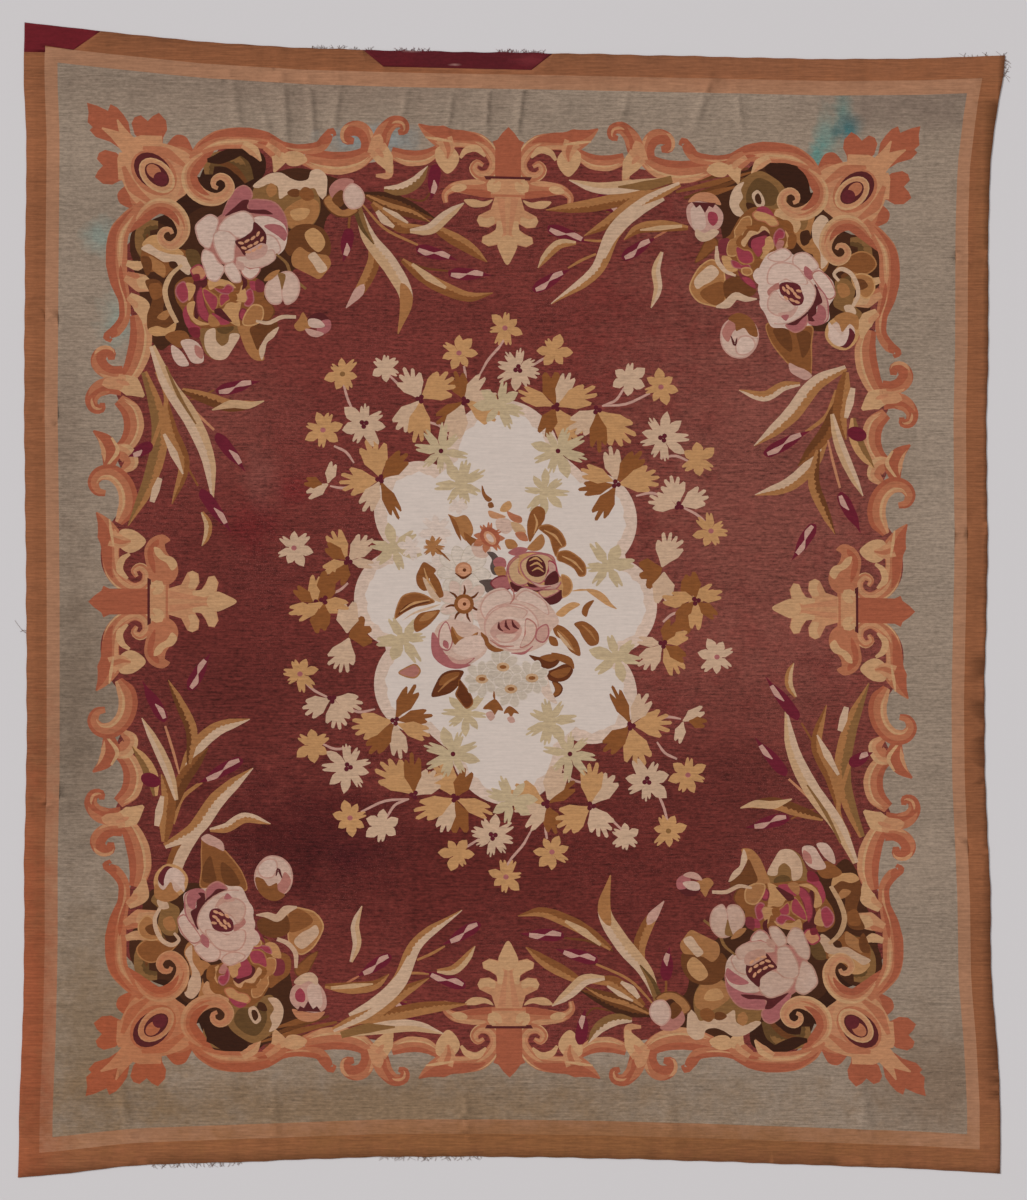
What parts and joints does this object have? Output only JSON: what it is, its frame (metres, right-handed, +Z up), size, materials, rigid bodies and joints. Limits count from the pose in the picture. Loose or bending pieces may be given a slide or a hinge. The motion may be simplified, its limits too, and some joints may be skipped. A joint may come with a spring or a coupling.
{
  "type": "aubusson rug",
  "caption": "Large flat tapestry-woven rug with bowed hand-woven edges, plain border bands, a scrolled frame and corner bouquets, lying face up.",
  "frame": {"origin": "middle of the rug's box, on its underside", "axes": "+Z up from the floor through the face, +Y along the rug's length towards the top edge of the design, +X to the right of the design"},
  "size_m": [2.962, 3.466, 0.003],
  "materials": {
    "rug_wool": "matte ribbed tapestry weave",
    "patch_cloth": "matte plain cloth"
  },
  "bodies": {
    "root": {"rug": "rug_wool", "corner_patch": "patch_cloth", "edge_patch": "patch_cloth"}
  },
  "joints": []
}
